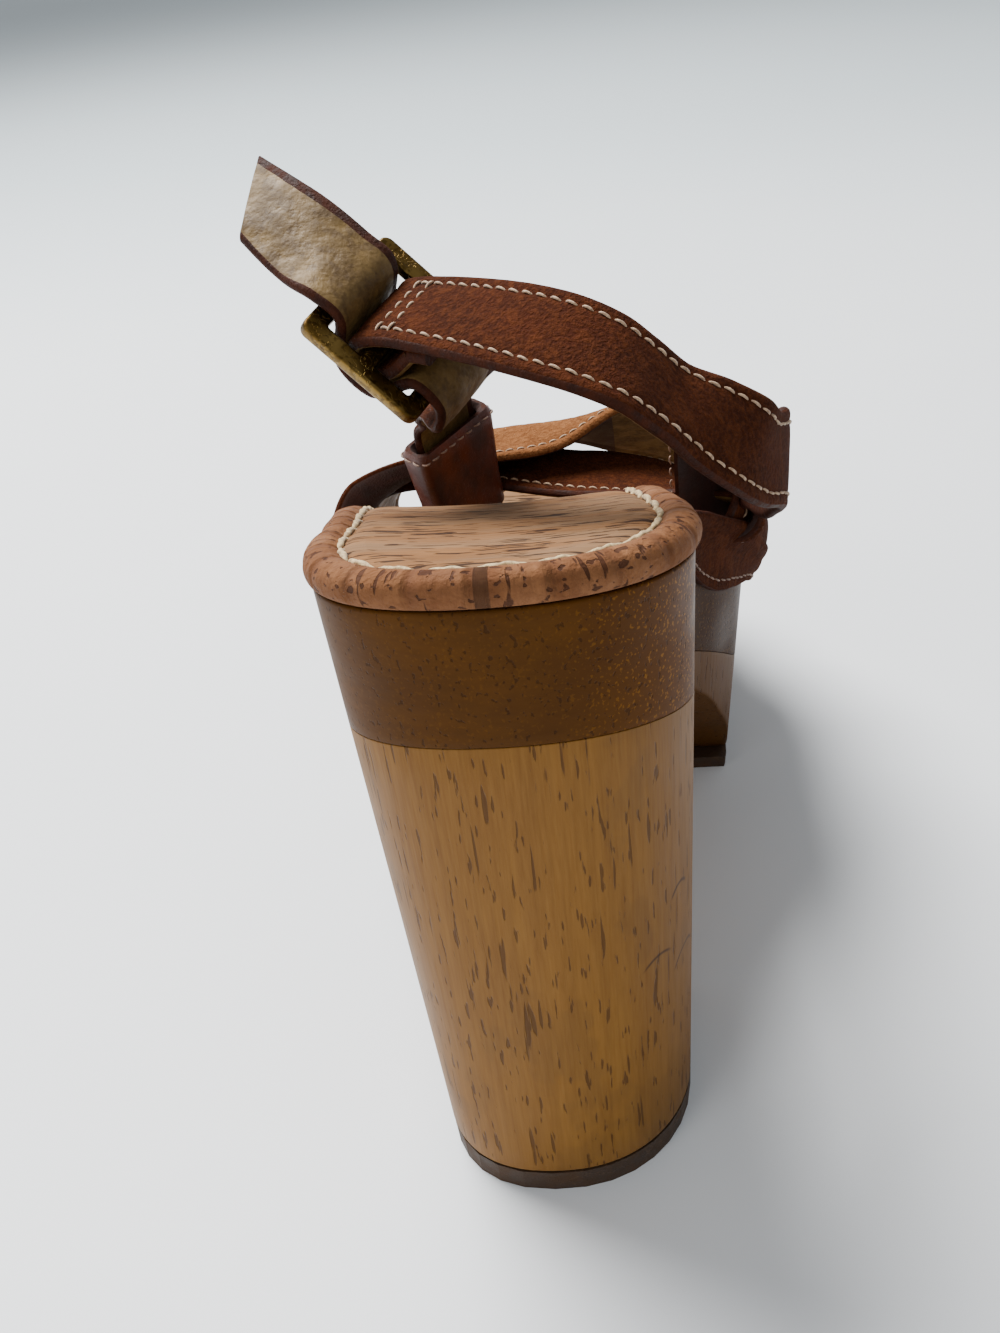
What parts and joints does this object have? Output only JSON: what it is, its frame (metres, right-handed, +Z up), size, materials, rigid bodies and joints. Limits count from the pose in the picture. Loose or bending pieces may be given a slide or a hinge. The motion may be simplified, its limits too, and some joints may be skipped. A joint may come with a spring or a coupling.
{
  "type": "platform sandal",
  "caption": "Left platform sandal with a high wooden block heel, cork footbed, crossed suede vamp bands and a buckled heel strap.",
  "frame": {"origin": "on the heel lift's floor face, under the middle of the heel seat", "axes": "+Y runs to the toe, +X to the inner side of the foot, +Z up from the floor"},
  "size_m": [0.1037, 0.2268, 0.1733],
  "materials": {
    "lift_rubber": "matt dark brown",
    "outsole_rubber": "matt dark brown",
    "pale_wood": "satin, pale upright grain",
    "brown_wood": "satin, stained brown",
    "cork": "soft cork skin",
    "vamp_suede": "suede with a smooth gold lining",
    "strap_suede": "suede, stitched along both edges",
    "billet_leather": "gold lining with dark edges",
    "frame_brass": "worn satin",
    "prong_brass": "worn satin"
  },
  "bodies": {
    "root": {"heel_lift": "lift_rubber", "fore_outsole": "outsole_rubber", "wood_platform": "pale_wood", "midsole_band": "brown_wood", "cork_footbed": "cork", "vamp_bands": "vamp_suede", "heel_strap": "strap_suede", "billet_strap": "billet_leather", "buckle_frame": "frame_brass", "buckle_prong": "prong_brass"}
  },
  "joints": []
}
